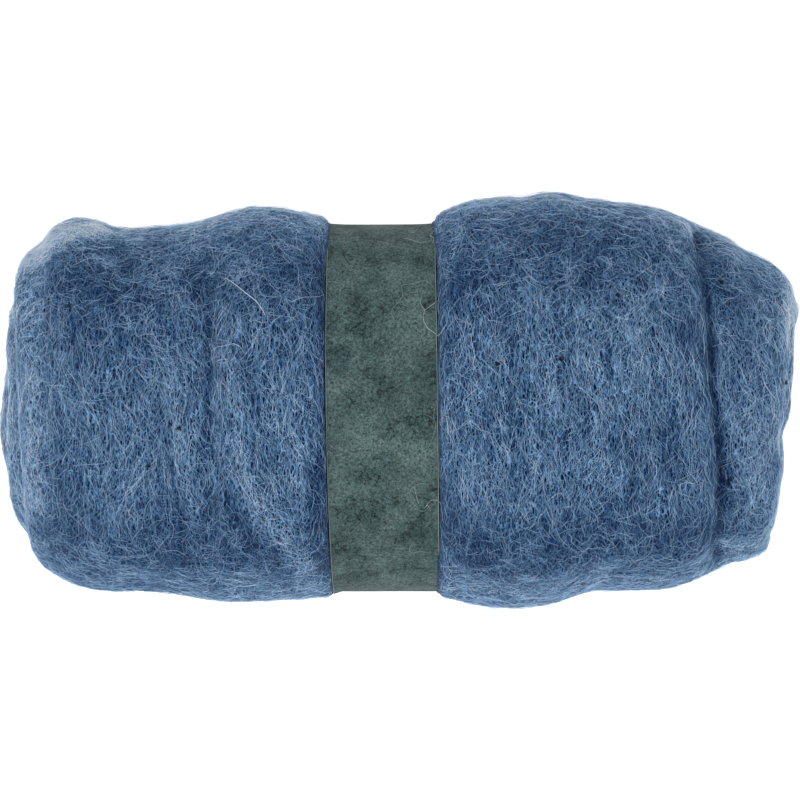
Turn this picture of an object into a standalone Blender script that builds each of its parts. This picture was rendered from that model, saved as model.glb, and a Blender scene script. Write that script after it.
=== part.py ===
"""Wool roving roll: a batt of carded wool wound up tightly and held by a paper band.

X runs along the roll, Y across it and Z up.  The roll lies on the plane z = 0,
pressed a little flat underneath, with the middle of its bounding box over the
origin.  All lengths are in metres.

Two solids are built:
  wool_roll   the wound wool, with the coils of the batt showing at both ends,
              the batt's free edge along the front and the folds that run round it
  paper_band  the strip of paper round the waist, lapped on itself low at the back
"""

import math
from typing import NamedTuple

import bmesh
import bpy
import numpy as np
from mathutils import Vector, noise

# Driving sizes of the roll.
POINTS_AROUND = 56          # points on each ring of wool
STATION_STEP = 0.0068       # usual distance between rings along the side
SECTION_POWER = 2.2         # 2 gives an ellipse, more gives a squarer section
SEAT = 0.0030               # how far the wool is pressed flat by its own weight

# The paper band and the waist that it draws into the wool.
BAND_LEFT = -0.0252
BAND_RIGHT = 0.0128
BAND_THICK = 0.0010
BAND_GAP = 0.0003           # between the paper and the wool
BAND_LEAN = -0.0122         # shift along x for each unit of y
BAND_UNDER = 0.0032         # underside of the wool inside the band
LAP_START = math.radians(-62.0)
LAP_END = math.radians(-43.0)

# The coils at the ends and the batt's free edge, which is where they come out.
# Angles start at the back (+Y) and go over the top (+Z) to the front (-Y).
FREE_EDGE_ANGLE = math.radians(146.0)
FREE_EDGE_STEP = 0.0026
FREE_EDGE_RAMP = math.radians(11.0)
FREE_EDGE_RUN = math.radians(75.0)
COIL_TURNS = 3.6
COIL_DEPTH = 0.0046
END_RINGS = 22

# Soft unevenness of the wool between its folds.
LUMP_HEIGHT = 0.0017
LUMP_SPAN = 0.026


class Section(NamedTuple):
    """One cross-section of the roll's side."""
    x: float        # place along the roll
    back: float     # widest point towards +Y
    front: float    # widest point towards -Y
    crest: float    # highest point
    under: float    # lowest point before the seat is pressed flat
    lean: float     # shift along x for each unit of y


SIDE = [
    Section(-0.1142, 0.0641, -0.0655, 0.1090, -SEAT, 0.0),
    Section(-0.1070, 0.0630, -0.0665, 0.1105, -SEAT, 0.0),
    Section(-0.0980, 0.0600, -0.0669, 0.1110, -SEAT, 0.0),
    Section(-0.0880, 0.0609, -0.0672, 0.1115, -SEAT, 0.0),
    Section(-0.0780, 0.0612, -0.0679, 0.1120, -SEAT, 0.0),
    Section(-0.0700, 0.0628, -0.0697, 0.1132, -SEAT, 0.0),
    Section(-0.0600, 0.0658, -0.0706, 0.1145, -SEAT, -0.003),
    Section(-0.0490, 0.0679, -0.0704, 0.1152, -SEAT, -0.006),
    Section(-0.0390, 0.0671, -0.0699, 0.1148, -SEAT, -0.009),
    Section(-0.0310, 0.0652, -0.0690, 0.1132, -0.0020, -0.011),
    Section(-0.0272, 0.0634, -0.0683, 0.1112, 0.0004, BAND_LEAN),
    Section(-0.0257, 0.0607, -0.0663, 0.1067, BAND_UNDER, BAND_LEAN),
    Section(0.0133, 0.0607, -0.0663, 0.1067, BAND_UNDER, BAND_LEAN),
    Section(0.0148, 0.0640, -0.0684, 0.1120, 0.0004, BAND_LEAN),
    Section(0.0185, 0.0672, -0.0701, 0.1146, -0.0020, -0.013),
    Section(0.0260, 0.0700, -0.0718, 0.1162, -SEAT, -0.014),
    Section(0.0350, 0.0711, -0.0729, 0.1170, -SEAT, -0.015),
    Section(0.0430, 0.0706, -0.0725, 0.1168, -SEAT, -0.017),
    Section(0.0500, 0.0725, -0.0716, 0.1168, -SEAT, -0.021),
    Section(0.0570, 0.0729, -0.0693, 0.1165, -SEAT, -0.025),
    Section(0.0640, 0.0711, -0.0669, 0.1158, -SEAT, -0.029),
    Section(0.0780, 0.0696, -0.0669, 0.1148, -SEAT, -0.036),
    Section(0.0900, 0.0680, -0.0659, 0.1130, -SEAT, -0.042),
    Section(0.0980, 0.0656, -0.0641, 0.1105, -SEAT, -0.046),
    Section(0.1065, 0.0616, -0.0606, 0.1060, -SEAT, -0.050),
    Section(0.1128, 0.0593, -0.0574, 0.1015, -SEAT, -0.051),
]


class EndReach(NamedTuple):
    """How far an end reaches along x, by the share of its radius."""
    share: float    # 1 at the rim where the side stops, 0 at the middle
    back: float     # distance from x = 0 on the back half
    front: float    # distance from x = 0 on the front half


LEFT_END = [
    EndReach(1.00, 0.1142, 0.1142),
    EndReach(0.98, 0.1188, 0.1170),
    EndReach(0.94, 0.1244, 0.1209),
    EndReach(0.88, 0.1275, 0.1255),
    EndReach(0.80, 0.1318, 0.1295),
    EndReach(0.70, 0.1341, 0.1325),
    EndReach(0.55, 0.1361, 0.1353),
    EndReach(0.40, 0.1380, 0.1377),
    EndReach(0.20, 0.1390, 0.1396),
    EndReach(0.00, 0.1397, 0.1397),
]

RIGHT_END = [
    EndReach(1.00, 0.1098, 0.1157),
    EndReach(0.99, 0.1112, 0.1235),
    EndReach(0.97, 0.1140, 0.1275),
    EndReach(0.93, 0.1192, 0.1298),
    EndReach(0.89, 0.1232, 0.1306),
    EndReach(0.83, 0.1284, 0.1314),
    EndReach(0.77, 0.1325, 0.1322),
    EndReach(0.71, 0.1360, 0.1326),
    EndReach(0.65, 0.1388, 0.1328),
    EndReach(0.58, 0.1400, 0.1327),
    EndReach(0.48, 0.1388, 0.1328),
    EndReach(0.35, 0.1380, 0.1330),
    EndReach(0.18, 0.1370, 0.1340),
    EndReach(0.00, 0.1356, 0.1356),
]


class Fold(NamedTuple):
    """A fold that runs round part of the roll."""
    x: float         # place along the roll
    depth: float     # at its deepest
    half_width: float
    start: float     # angle in degrees where it fades in
    end: float       # angle in degrees where it fades out


FOLDS = [
    Fold(-0.0843, 0.0013, 0.0026, 70.0, 160.0),
    Fold(-0.0647, 0.0024, 0.0024, 35.0, 150.0),
    Fold(0.0836, 0.0013, 0.0028, 60.0, 170.0),
    Fold(0.1065, 0.0056, 0.0023, 4.0, 172.0),
]


def smooth_through(at, xs, ys):
    """Cubic curve through the points (xs, ys) that never overshoots them."""
    run = np.diff(xs)
    rise = np.diff(ys) / run
    slope = np.zeros(len(xs))
    for i in range(1, len(xs) - 1):
        before, after = rise[i - 1], rise[i]
        if before * after > 0.0:
            slope[i] = 2.0 * before * after / (before + after)
    slope[0] = rise[0]
    slope[-1] = rise[-1]
    i = int(np.clip(np.searchsorted(xs, at) - 1, 0, len(run) - 1))
    t = (at - xs[i]) / run[i]
    return (ys[i] * (1.0 + 2.0 * t) * (1.0 - t) ** 2
            + slope[i] * run[i] * t * (1.0 - t) ** 2
            + ys[i + 1] * t * t * (3.0 - 2.0 * t)
            + slope[i + 1] * run[i] * t * t * (t - 1.0))


def ease(value, low, high):
    """0 below `low`, 1 above `high` and a soft change between them."""
    t = min(max((value - low) / (high - low), 0.0), 1.0)
    return t * t * (3.0 - 2.0 * t)


def section_at(x):
    """The side's cross-section at any place along the roll."""
    xs = [row.x for row in SIDE]
    columns = ("back", "front", "crest", "under", "lean")
    values = [smooth_through(x, xs, [getattr(row, name) for row in SIDE]) for name in columns]
    return Section(x, *values)


def outline_point(section, angle, outward=0.0, share=1.0):
    """(y, z) on a section, moved `outward` square to its outline.

    `share` scales the section about its middle before the point is moved.
    """
    half_y = 0.5 * (section.back - section.front)
    half_z = 0.5 * (section.crest - section.under)
    middle_y = 0.5 * (section.back + section.front)
    middle_z = 0.5 * (section.crest + section.under)
    power = 2.0 / SECTION_POWER
    cos_a, sin_a = math.cos(angle), math.sin(angle)
    unit_y = math.copysign(abs(cos_a) ** power, cos_a)
    unit_z = math.copysign(abs(sin_a) ** power, sin_a)
    square = Vector((math.copysign(abs(unit_y) ** (SECTION_POWER - 1.0), cos_a) / half_y,
                     math.copysign(abs(unit_z) ** (SECTION_POWER - 1.0), sin_a) / half_z))
    square.normalize()
    return (middle_y + share * half_y * unit_y + outward * square.x,
            middle_z + share * half_z * unit_z + outward * square.y)


def in_band(x):
    """1 well inside the band's waist, 0 on the free wool either side."""
    return ease(x, BAND_LEFT - 0.006, BAND_LEFT) * (1.0 - ease(x, BAND_RIGHT, BAND_RIGHT + 0.006))


def free_edge_rise(angle):
    """Height of the batt's free edge over the layer beneath it.

    The batt comes over the top and stops at the free edge, so the step is at
    its front and it dies away back over the top.
    """
    behind = FREE_EDGE_ANGLE - angle
    if behind < -0.5 * FREE_EDGE_RAMP or behind > FREE_EDGE_RUN:
        return 0.0
    step = ease(behind, -0.5 * FREE_EDGE_RAMP, 0.5 * FREE_EDGE_RAMP)
    return FREE_EDGE_STEP * step * (1.0 - ease(behind, 0.2 * FREE_EDGE_RUN, FREE_EDGE_RUN))


def fold_drop(x, angle):
    """Depth of the folds at a place on the side."""
    degrees = math.degrees(angle)
    drop = 0.0
    for fold in FOLDS:
        shape = math.exp(-((x - fold.x) / fold.half_width) ** 2)
        fade = ease(degrees, fold.start, fold.start + 30.0)
        fade *= 1.0 - ease(degrees, fold.end - 30.0, fold.end)
        drop += fold.depth * shape * fade
    return drop


def lump(x, y, z):
    """Soft unevenness, between about minus and plus LUMP_HEIGHT."""
    return LUMP_HEIGHT * 1.6 * noise.noise(Vector((x, y, z)) / LUMP_SPAN)


def side_ring(x):
    """Points of one ring on the side of the wool."""
    section = section_at(x)
    loose = 1.0 - in_band(x)
    ring = []
    for i in range(POINTS_AROUND):
        angle = 2.0 * math.pi * i / POINTS_AROUND
        y, z = outline_point(section, angle)
        # The two sides keep the outline of the table, so lumps fade out there.
        outward = lump(x, y, z) * abs(math.sin(angle))
        outward += free_edge_rise(angle) - fold_drop(x, angle)
        y, z = outline_point(section, angle, outward * loose)
        ring.append(Vector((x + section.lean * y, y, max(z, 0.0))))
    return ring


def coil_drop(share, angle):
    """Depth of the spiral groove between the coils that show at an end."""
    around = (angle - FREE_EDGE_ANGLE) / (2.0 * math.pi)
    coil = (1.0 - share) * COIL_TURNS + around
    valley = (0.5 + 0.5 * math.cos(2.0 * math.pi * coil)) ** 2
    fade = ease(share, 0.06, 0.30) * (1.0 - 0.75 * ease(share, 0.80, 1.0))
    return COIL_DEPTH * valley * fade


def end_ring(section, table, side, share):
    """Points of one ring on an end of the wool; `side` is -1 left, +1 right."""
    shares = [row.share for row in reversed(table)]
    back = smooth_through(share, shares, [row.back for row in reversed(table)])
    front = smooth_through(share, shares, [row.front for row in reversed(table)])
    ring = []
    for i in range(POINTS_AROUND):
        angle = 2.0 * math.pi * i / POINTS_AROUND
        rise = free_edge_rise(angle) * ease(share, 0.85, 1.0)
        y, z = outline_point(section, angle, rise, share)
        towards_back = 0.5 + 0.5 * math.cos(angle)
        reach = front + (back - front) * towards_back
        reach -= coil_drop(share, angle)
        reach += lump(reach * side, y, z) * abs(math.sin(angle)) * ease(share, 0.1, 0.3)
        ring.append(Vector((side * reach, y, max(z, 0.0))))
    return ring


def end_shares():
    """Shares of the radius for an end's rings, from the rim to the middle."""
    steps = np.linspace(0.0, 1.0, END_RINGS + 1)[:-1]
    return [float(0.988 * (1.0 - step ** 1.1)) for step in steps]


def side_stations():
    """Places along the roll for the side's rings, closer together at folds."""
    first, last = SIDE[0].x, SIDE[-1].x
    count = round((last - first) / STATION_STEP)
    inside = (BAND_LEFT - 0.005, BAND_RIGHT + 0.005)
    even = [x for x in np.linspace(first, last, count + 1) if not inside[0] < x < inside[1]]
    waist = [-0.0285, -0.0272, -0.0264, -0.0257, -0.0130, 0.0, 0.0133, 0.0140, 0.0148, 0.0162]
    at_folds = []
    for fold in FOLDS:
        at_folds += [fold.x + share * fold.half_width for share in (-1.2, -0.6, 0.0, 0.6, 1.2)]
    fixed = sorted(waist + at_folds + [first, last])
    free = [x for x in even if min(abs(x - other) for other in fixed) > 0.0024]
    return sorted(fixed + free)


def skin(name, rings, closed_ends):
    """Object whose surface joins each ring to the next.

    With `closed_ends` the first and last rings are capped by a point;
    without, the last ring is joined back to the first.
    """
    mesh = bmesh.new()
    loops = [[mesh.verts.new(point) for point in ring] for ring in rings]
    pairs = list(zip(loops, loops[1:]))
    if not closed_ends:
        pairs.append((loops[-1], loops[0]))
    for near, far in pairs:
        for i in range(len(near)):
            j = (i + 1) % len(near)
            mesh.faces.new((near[i], near[j], far[j], far[i]))
    if closed_ends:
        for loop in (loops[0], loops[-1]):
            middle = mesh.verts.new(sum((vert.co for vert in loop), Vector()) / len(loop))
            for i in range(len(loop)):
                mesh.faces.new((loop[i], loop[(i + 1) % len(loop)], middle))
    bmesh.ops.recalc_face_normals(mesh, faces=mesh.faces)
    data = bpy.data.meshes.new(name)
    mesh.to_mesh(data)
    mesh.free()
    part = bpy.data.objects.new(name, data)
    bpy.context.scene.collection.objects.link(part)
    return part


def build_wool():
    """The wound wool: left end, side and right end joined ring by ring."""
    left = [end_ring(section_at(SIDE[0].x), LEFT_END, -1.0, share)
            for share in reversed(end_shares())]
    side = [side_ring(x) for x in side_stations()]
    right = [end_ring(section_at(SIDE[-1].x), RIGHT_END, 1.0, share)
             for share in end_shares()]
    return skin("wool_roll", left + side + right, closed_ends=True)


def band_angles():
    """The wool's own angles, with two close ones at each end of the lap."""
    even = [2.0 * math.pi * i / POINTS_AROUND for i in range(POINTS_AROUND)]
    lap_ends = [edge % (2.0 * math.pi) for edge in (LAP_START, LAP_END)]
    steps = []
    for edge in lap_ends:
        steps += [(edge - 0.006, edge), (edge + 0.006, edge)]
    near_steps = [angle for angle in even if min(abs(angle - edge) for edge in lap_ends) > 0.02]
    return sorted(near_steps + [angle for angle, _ in steps])


def build_band():
    """The paper strip: a closed loop, twice as thick where it laps itself."""
    waist = section_at(0.0)
    lap = [edge % (2.0 * math.pi) for edge in (LAP_START, LAP_END)]
    rings = []
    for angle in band_angles():
        thick = BAND_THICK * (2.0 if lap[0] < angle < lap[1] else 1.0)
        corners = []
        for edge, outward in ((BAND_LEFT, BAND_GAP), (BAND_RIGHT, BAND_GAP),
                              (BAND_RIGHT, BAND_GAP + thick), (BAND_LEFT, BAND_GAP + thick)):
            y, z = outline_point(waist, angle, outward)
            corners.append(Vector((edge + BAND_LEAN * y, y, z)))
        rings.append(corners)
    return skin("paper_band", rings, closed_ends=False)


def coat(part, name, colour, roughness):
    """Give a part its own plain material."""
    material = bpy.data.materials.new(name)
    material.use_nodes = True
    shader = material.node_tree.nodes["Principled BSDF"]
    shader.inputs["Base Color"].default_value = (*colour, 1.0)
    shader.inputs["Roughness"].default_value = roughness
    material.diffuse_color = (*colour, 1.0)
    part.data.materials.append(material)


def centre_on_origin(parts):
    """Move all parts together so their box stands centred on the origin."""
    points = [vert.co for part in parts for vert in part.data.vertices]
    low = Vector([min(point[axis] for point in points) for axis in range(3)])
    high = Vector([max(point[axis] for point in points) for axis in range(3)])
    shift = Vector((-0.5 * (low.x + high.x), -0.5 * (low.y + high.y), -low.z))
    for part in parts:
        for vert in part.data.vertices:
            vert.co += shift


def main():
    for old in list(bpy.data.objects):
        bpy.data.objects.remove(old)

    wool = build_wool()
    band = build_band()
    centre_on_origin([wool, band])

    wool.data.shade_smooth()
    band.data.shade_smooth()
    band.data.set_sharp_from_angle(angle=math.radians(40.0))
    coat(wool, "carded wool", (0.085, 0.145, 0.235), 0.95)
    coat(band, "uncoated paper", (0.070, 0.110, 0.112), 0.85)


main()
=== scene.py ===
"""Looks of the wool roving roll: carded wool wound on itself, held by a paper band.

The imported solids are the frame.  Each of the two is replaced by a finer piece
made from it, and the wool gets coats of single fibres grown over its surface.
Lengths are in metres, +X runs along the roll, +Y to its back and +Z up.
"""

import math
from typing import NamedTuple

import bmesh
import bpy
import numpy as np
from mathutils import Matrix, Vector, noise
from mathutils.bvhtree import BVHTree


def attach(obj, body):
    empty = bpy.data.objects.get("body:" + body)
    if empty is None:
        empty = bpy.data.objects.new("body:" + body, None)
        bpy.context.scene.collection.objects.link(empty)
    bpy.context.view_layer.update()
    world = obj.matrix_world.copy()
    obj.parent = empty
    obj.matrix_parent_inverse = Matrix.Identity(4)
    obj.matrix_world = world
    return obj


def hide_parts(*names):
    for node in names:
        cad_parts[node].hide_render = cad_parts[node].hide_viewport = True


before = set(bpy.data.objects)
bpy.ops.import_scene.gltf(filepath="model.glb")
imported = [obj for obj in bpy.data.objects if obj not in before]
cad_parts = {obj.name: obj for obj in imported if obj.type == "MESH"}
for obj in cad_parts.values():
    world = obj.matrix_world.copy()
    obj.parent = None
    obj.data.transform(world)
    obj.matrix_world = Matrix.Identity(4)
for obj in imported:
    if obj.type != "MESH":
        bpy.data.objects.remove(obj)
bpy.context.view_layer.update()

MM = 0.001

# The view: straight down on the roll as it lies, from a little over a metre.
VIEW_PLANE = 58.0 * MM          # height of the roll's widest outline
VIEW_DISTANCE = 1.35            # from that plane to the camera
VIEW_WIDTH = 0.2816             # what the picture spans there
CAMERA_PLACE = Vector((0.0, 0.0, VIEW_PLANE + VIEW_DISTANCE))

# The roll's axis, and the band's place on it, as in the solids.
AXIS_Y = 0.0
AXIS_Z = 55.0 * MM
ROLL_RISE = 60.0 * MM           # from the roll's widest outline to its top
SIDES = (42.0 * MM, 56.0 * MM)  # |y| at which the top begins to turn down, and has turned
BAND_LEFT = -25.2 * MM
BAND_RIGHT = 12.8 * MM
BAND_LEAN = -0.0122             # shift along x for each unit of y
BAND_BOW = 0.9 * MM             # how far its left edge draws in at the roll's sides
BAND_HALF = 58.0 * MM           # from the roll's middle line out to the band there
BAND_CENTRE_Y = -3.0 * MM       # its turn is wound about this line, level with the axis
BAND_SEAT = 1.0 * MM            # from the solid wool to the paper's inner face
BAND_FLARE = 0.4 * MM           # how far its edges stand out at the roll's back
PAPER_THICK = 0.3 * MM
LAP_START = math.radians(-62.0)
LAP_END = math.radians(-43.0)


# ---------------------------------------------------------------- materials

TONE = "tone"       # what the meshes carry for it: darker below 0, paler above; on the wool it also holds painted shade and painted light


def linear(hex_colour):
    """Linear RGBA of an sRGB hex colour such as '#4A5E5D'."""
    channels = [int(hex_colour[i:i + 2], 16) / 255.0 for i in (1, 3, 5)]
    return [c / 12.92 if c <= 0.04045 else ((c + 0.055) / 1.055) ** 2.4 for c in channels] + [1.0]


def add_node(tree, kind, settings=None, inputs=None):
    """Add a node, set its properties and fill its inputs.

    `inputs` maps an input's name or number to a value or to the output
    socket that feeds it.
    """
    node = tree.nodes.new(kind)
    for name, value in (settings or {}).items():
        setattr(node, name, value)
    for key, value in (inputs or {}).items():
        if isinstance(value, bpy.types.NodeSocket):
            tree.links.new(value, node.inputs[key])
        else:
            node.inputs[key].default_value = value
    return node


def new_material(name, shader_inputs):
    """A material of one Principled shader; returns it and its node tree and shader."""
    material = bpy.data.materials.new(name)
    material.use_nodes = True
    tree = material.node_tree
    tree.nodes.clear()
    shader = add_node(tree, "ShaderNodeBsdfPrincipled", inputs=shader_inputs)
    add_node(tree, "ShaderNodeOutputMaterial", inputs={"Surface": shader.outputs["BSDF"]})
    return material, tree, shader


def colour_ramp(tree, value, stops):
    """Colour that runs through (position, colour) stops as a value rises."""
    ramp = add_node(tree, "ShaderNodeValToRGB", inputs={"Fac": value})
    elements = ramp.color_ramp.elements
    while len(elements) < len(stops):
        elements.new(1.0)
    for element, (position, colour) in zip(elements, stops):
        element.position = position
        element.color = linear(colour)
    return ramp.outputs["Color"]


class Net(NamedTuple):
    """One layer of lines that cross and part, drawn along the walls of long cells."""
    across: float     # span of a cell across the winding
    around: float     # span round it
    width: float      # of a line, as a share of the cell
    shift: float      # tells one layer from the next


class Sway(NamedTuple):
    """How the lines of a net wander."""
    reach: Vector     # farthest, along the roll, out from its axis and round it
    span: float       # of one bend
    detail: float
    roughness: float


# Real fibres are 0.03 mm thick; drawn ones are the quarter-millimetre strands they cling in.
NETS = [
    Net(0.90 * MM, 4.2 * MM, 0.14, 0.0),
    Net(0.80 * MM, 2.8 * MM, 0.14, 31.0),
]
NET_SWAY = Sway(Vector((2.2, 1.0, 0.8)) * MM, 5.0 * MM, 2.0, 0.6)

# The paper's creases are as fine as a hair and are drawn half a millimetre wide, to show.
CREASES = Net(3.2 * MM, 3.2 * MM, 0.1, 7.0)
CREASE_SWAY = Sway(Vector((5.0, 5.0, 5.0)) * MM, 2.5 * MM, 3.0, 0.5)


def place_in_winding(tree):
    """Places as the wool is wound: along the roll, out from its axis and round it."""
    place = add_node(tree, "ShaderNodeTexCoord").outputs["Object"]
    part = add_node(tree, "ShaderNodeSeparateXYZ", inputs={"Vector": place})
    rise = add_node(tree, "ShaderNodeMath", {"operation": "SUBTRACT"},
                    {0: part.outputs["Z"], 1: AXIS_Z})
    spoke = add_node(tree, "ShaderNodeCombineXYZ",
                     inputs={"Y": part.outputs["Y"], "Z": rise.outputs["Value"]})
    out = add_node(tree, "ShaderNodeVectorMath", {"operation": "LENGTH"},
                   {0: spoke.outputs["Vector"]})
    # Counted from below, so that the turn's start lies under the roll.
    turn = add_node(tree, "ShaderNodeMath", {"operation": "ARCTAN2"},
                    {0: part.outputs["Y"], 1: rise.outputs["Value"]})
    round_it = add_node(tree, "ShaderNodeMath", {"operation": "MULTIPLY"},
                        {0: turn.outputs["Value"], 1: ROLL_RISE})
    return add_node(tree, "ShaderNodeCombineXYZ", inputs={
        "X": part.outputs["X"], "Y": out.outputs["Value"],
        "Z": round_it.outputs["Value"]}).outputs["Vector"]


def swayed(tree, place, sway):
    """Places moved about softly, so that what is drawn at them wanders."""
    drift = add_node(tree, "ShaderNodeTexNoise", inputs={
        "Vector": place, "Scale": 1.0 / sway.span, "Detail": sway.detail,
        "Roughness": sway.roughness})
    return add_node(tree, "ShaderNodeVectorMath", {"operation": "MULTIPLY_ADD"},
                    {0: drift.outputs["Color"], 1: sway.reach, 2: place}).outputs["Vector"]


def drawn_net(tree, place, net):
    """Lines of one layer, 1 on a line and 0 between, that dip out of sight in places."""
    spot = add_node(tree, "ShaderNodeMapping", inputs={
        "Vector": place, "Location": (net.shift, net.shift, net.shift),
        "Scale": (1.0 / net.across, 1.0 / net.across, 1.0 / net.around)})
    cells = add_node(tree, "ShaderNodeTexVoronoi", {"feature": "DISTANCE_TO_EDGE"},
                     {"Vector": spot.outputs["Vector"], "Scale": 1.0})
    line = add_node(tree, "ShaderNodeMapRange", {"interpolation_type": "SMOOTHSTEP"},
                    {"Value": cells.outputs["Distance"], "From Min": 0.0, "From Max": net.width,
                     "To Min": 1.0, "To Max": 0.0})
    dips = add_node(tree, "ShaderNodeTexNoise", inputs={
        "Vector": spot.outputs["Vector"], "Scale": 0.6, "Detail": 1.0})
    seen = add_node(tree, "ShaderNodeMapRange", {"interpolation_type": "SMOOTHSTEP"},
                    {"Value": dips.outputs["Fac"], "From Min": 0.35, "From Max": 0.6,
                     "To Min": 0.65})
    return add_node(tree, "ShaderNodeMath", {"operation": "MULTIPLY"},
                    {0: line.outputs["Result"], 1: seen.outputs["Result"]}).outputs["Value"]


def wool_ground():
    """Carded wool in the mass: fine pale fibres over a deep blue, darkened between them with painted
    shade.
    """
    # The loose surface scatters light at a grazing angle, which pales the roll's edges.
    material, tree, shader = new_material("carded wool ground", {
        "Roughness": 0.95, "Specular IOR Level": 0.05, "Sheen Weight": 0.4,
        "Sheen Roughness": 0.45, "Sheen Tint": linear("#A4C4E8")})
    place = place_in_winding(tree)
    loose = swayed(tree, place, NET_SWAY)
    fibres = drawn_net(tree, loose, NETS[0])
    for net in NETS[1:]:
        more = drawn_net(tree, loose, net)
        fibres = add_node(tree, "ShaderNodeMath", {"operation": "MAXIMUM"},
                          {0: fibres, 1: more}).outputs["Value"]
    # The mesh carries how much darker and paler the wool is: its own tone, painted shade in deep
    # folds and beside the band, and painted light at loose edges.
    tone = add_node(tree, "ShaderNodeAttribute", {"attribute_name": TONE})
    patches = add_node(tree, "ShaderNodeTexNoise", inputs={
        "Vector": place, "Scale": 1.0 / (13.0 * MM), "Detail": 1.0})
    base = add_node(tree, "ShaderNodeMath", {"operation": "MULTIPLY_ADD"},
                    {0: tone.outputs["Fac"], 1: 0.24, 2: -0.27})
    base = add_node(tree, "ShaderNodeMath", {"operation": "MULTIPLY_ADD"},
                    {0: patches.outputs["Fac"], 1: 0.1, 2: base.outputs["Value"]})
    level = add_node(tree, "ShaderNodeMath", {"operation": "MULTIPLY_ADD"},
                     {0: fibres, 1: 0.92, 2: base.outputs["Value"]})
    # Its darkest stops are painted shade in the depth between the fibres.
    colour = colour_ramp(tree, level.outputs["Value"], [
        (0.0, "#001034"), (0.2, "#052E5A"), (0.5, "#4A6F94"), (0.75, "#7BA0C3"), (1.0, "#B8C8D4")])
    bump = add_node(tree, "ShaderNodeBump", inputs={
        "Strength": 0.8, "Distance": 0.4 * MM, "Height": fibres})
    tree.links.new(colour, shader.inputs["Base Color"])
    tree.links.new(bump.outputs["Normal"], shader.inputs["Normal"])
    return material


def wool_fibre(name, colour):
    """A single dyed wool fibre: soft lustre, no gloss."""
    material, _, _ = new_material(name, {
        "Base Color": linear(colour), "Roughness": 0.7, "Specular IOR Level": 0.2})
    return material


def uncoated_paper():
    """Uncoated dyed paper: matte, cloudy in tone, with dark specks and creases in it."""
    material, tree, shader = new_material("uncoated dyed paper", {
        "Roughness": 0.85, "Specular IOR Level": 0.25})
    place = add_node(tree, "ShaderNodeTexCoord").outputs["Object"]
    clouds = add_node(tree, "ShaderNodeTexNoise", inputs={
        "Vector": place, "Scale": 1.0 / (11.0 * MM), "Detail": 5.0, "Roughness": 0.62})
    cloudy = colour_ramp(tree, clouds.outputs["Fac"], [(0.33, "#2F4445"), (0.66, "#4D605F")])
    # Real specks are 0.2 mm and less; they are drawn as coarse as they need to show.
    flecks = add_node(tree, "ShaderNodeTexNoise", inputs={
        "Vector": place, "Scale": 1.0 / (0.8 * MM), "Detail": 3.0, "Roughness": 0.75,
        "Distortion": 0.8})
    fleck_shade = add_node(tree, "ShaderNodeMapRange", inputs={
        "Value": flecks.outputs["Fac"], "From Min": 0.34, "From Max": 0.66,
        "To Min": 0.2, "To Max": 1.75})
    # Fine broken creases, in the darker clouds, drawn dark as painted shade.
    creases = drawn_net(tree, swayed(tree, place, CREASE_SWAY), CREASES)
    creased = add_node(tree, "ShaderNodeMapRange", inputs={
        "Value": clouds.outputs["Fac"], "From Min": 0.4, "From Max": 0.54,
        "To Min": -0.85, "To Max": -0.1})
    crease_shade = add_node(tree, "ShaderNodeMath", {"operation": "MULTIPLY_ADD"},
                            {0: creases, 1: creased.outputs["Result"], 2: 1.0})
    tone = add_node(tree, "ShaderNodeAttribute", {"attribute_name": TONE})
    tone_shade = add_node(tree, "ShaderNodeMath", {"operation": "POWER"},
                          {0: 2.2, 1: tone.outputs["Fac"]})
    shade = fleck_shade.outputs["Result"]
    for more in (crease_shade, tone_shade):
        shade = add_node(tree, "ShaderNodeMath", {"operation": "MULTIPLY"},
                         {0: shade, 1: more.outputs["Value"]}).outputs["Value"]
    colour = add_node(tree, "ShaderNodeVectorMath", {"operation": "SCALE"},
                      {"Vector": cloudy, "Scale": shade})
    bump = add_node(tree, "ShaderNodeBump", inputs={
        "Strength": 0.5, "Distance": 0.15 * MM, "Height": flecks.outputs["Fac"]})
    tree.links.new(colour.outputs["Vector"], shader.inputs["Base Color"])
    tree.links.new(bump.outputs["Normal"], shader.inputs["Normal"])
    return material


def paper_cut_edge():
    """The paper's cut edge, scuffed to its pale core."""
    material, _, _ = new_material("cut paper edge", {
        "Base Color": linear("#7F9088"), "Roughness": 0.9, "Specular IOR Level": 0.2})
    return material


# ------------------------------------------------------------- mesh helpers

def link_piece(name, mesh):
    """Put a mesh into the scene as a piece of the roll."""
    piece = bpy.data.objects.new(name, mesh)
    bpy.context.scene.collection.objects.link(piece)
    return piece


def mesh_from(name, points, faces):
    """A smooth-shaded mesh from arrays of points and faces."""
    mesh = bpy.data.meshes.new(name)
    mesh.from_pydata([tuple(p) for p in points], [], [tuple(f) for f in faces])
    mesh.shade_smooth()
    return mesh


def vertex_arrays(mesh):
    """A mesh's vertices and their normals as arrays."""
    points = np.empty(len(mesh.vertices) * 3)
    normals = np.empty_like(points)
    mesh.vertices.foreach_get("co", points)
    mesh.vertices.foreach_get("normal", normals)
    return points.reshape(-1, 3), normals.reshape(-1, 3)


def smoothed(mesh, points, share, rounds):
    """Points drawn towards their neighbours by each one's share, so many times over."""
    ends = np.empty(len(mesh.edges) * 2, dtype=np.int32)
    mesh.edges.foreach_get("vertices", ends)
    a, b = ends.reshape(-1, 2).T
    both = np.concatenate([a, b])
    other = np.concatenate([b, a])
    neighbours = np.bincount(both, minlength=len(points))
    for _ in range(rounds):
        total = [np.bincount(both, points[other, i], len(points)) for i in range(3)]
        middle = np.stack(total, axis=1) / neighbours[:, None]
        points = points + share[:, None] * (middle - points)
    return points


def set_tone(mesh, tone):
    """Store a tone at each of a mesh's vertices for its material to read."""
    mesh.attributes.new(TONE, "FLOAT", "POINT").data.foreach_set("value", tone)


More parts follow.
